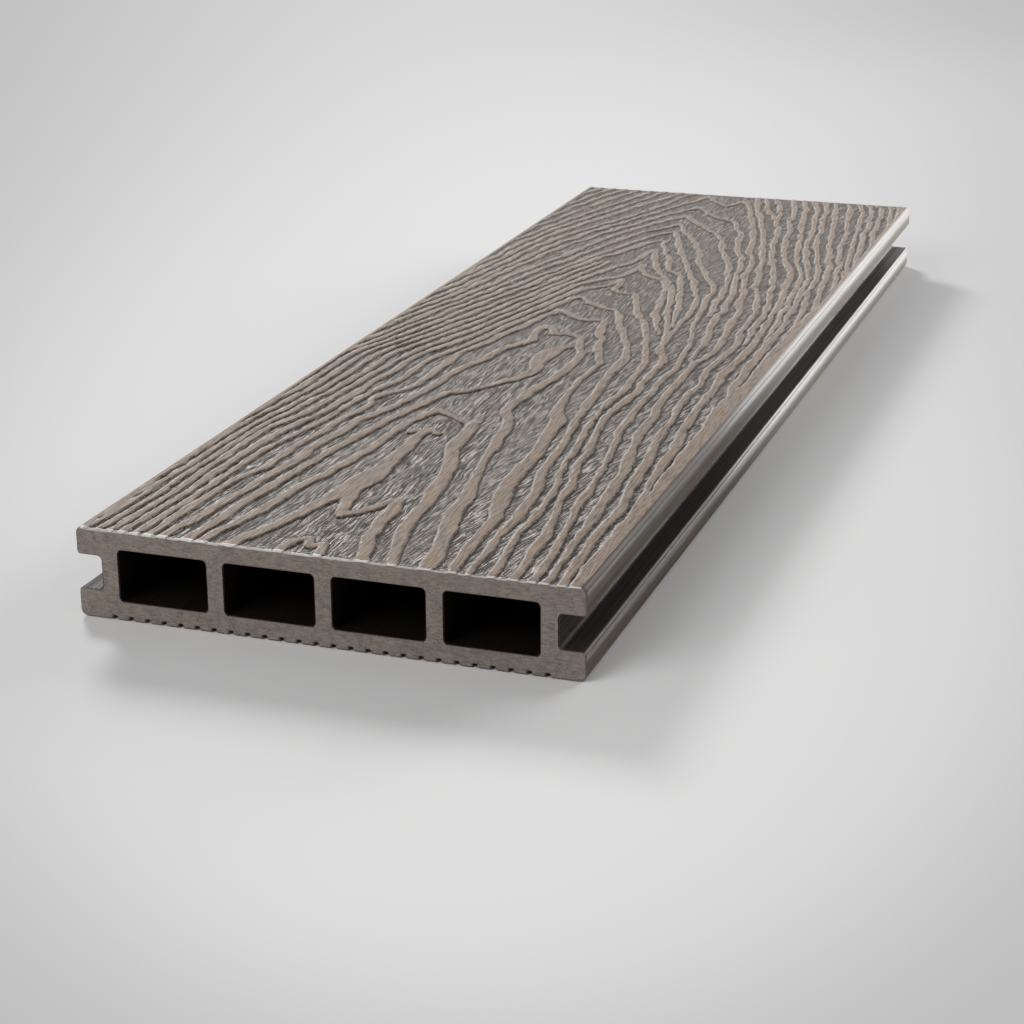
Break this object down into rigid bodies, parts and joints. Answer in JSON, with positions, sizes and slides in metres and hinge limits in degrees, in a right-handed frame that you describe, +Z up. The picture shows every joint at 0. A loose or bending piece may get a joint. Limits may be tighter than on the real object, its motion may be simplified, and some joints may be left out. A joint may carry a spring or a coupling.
{
  "type": "decking board",
  "caption": "Hollow wood-plastic decking board with an embossed wood-grain tread face, clip slots along both sides and a grooved underside.",
  "frame": {"origin": "under the middle of the board, on the plane that the underside rests on", "axes": "+X across the board, +Y along its length, +Z up out of the tread face"},
  "size_m": [0.14, 0.45, 0.025],
  "materials": {
    "wood_plastic": "matt grey-brown wood-plastic composite, embossed wood grain on the tread face, fine lengthwise drawing lines on the sides, sawn ends"
  },
  "bodies": {
    "root": {"deck_board": "wood_plastic"}
  },
  "joints": []
}
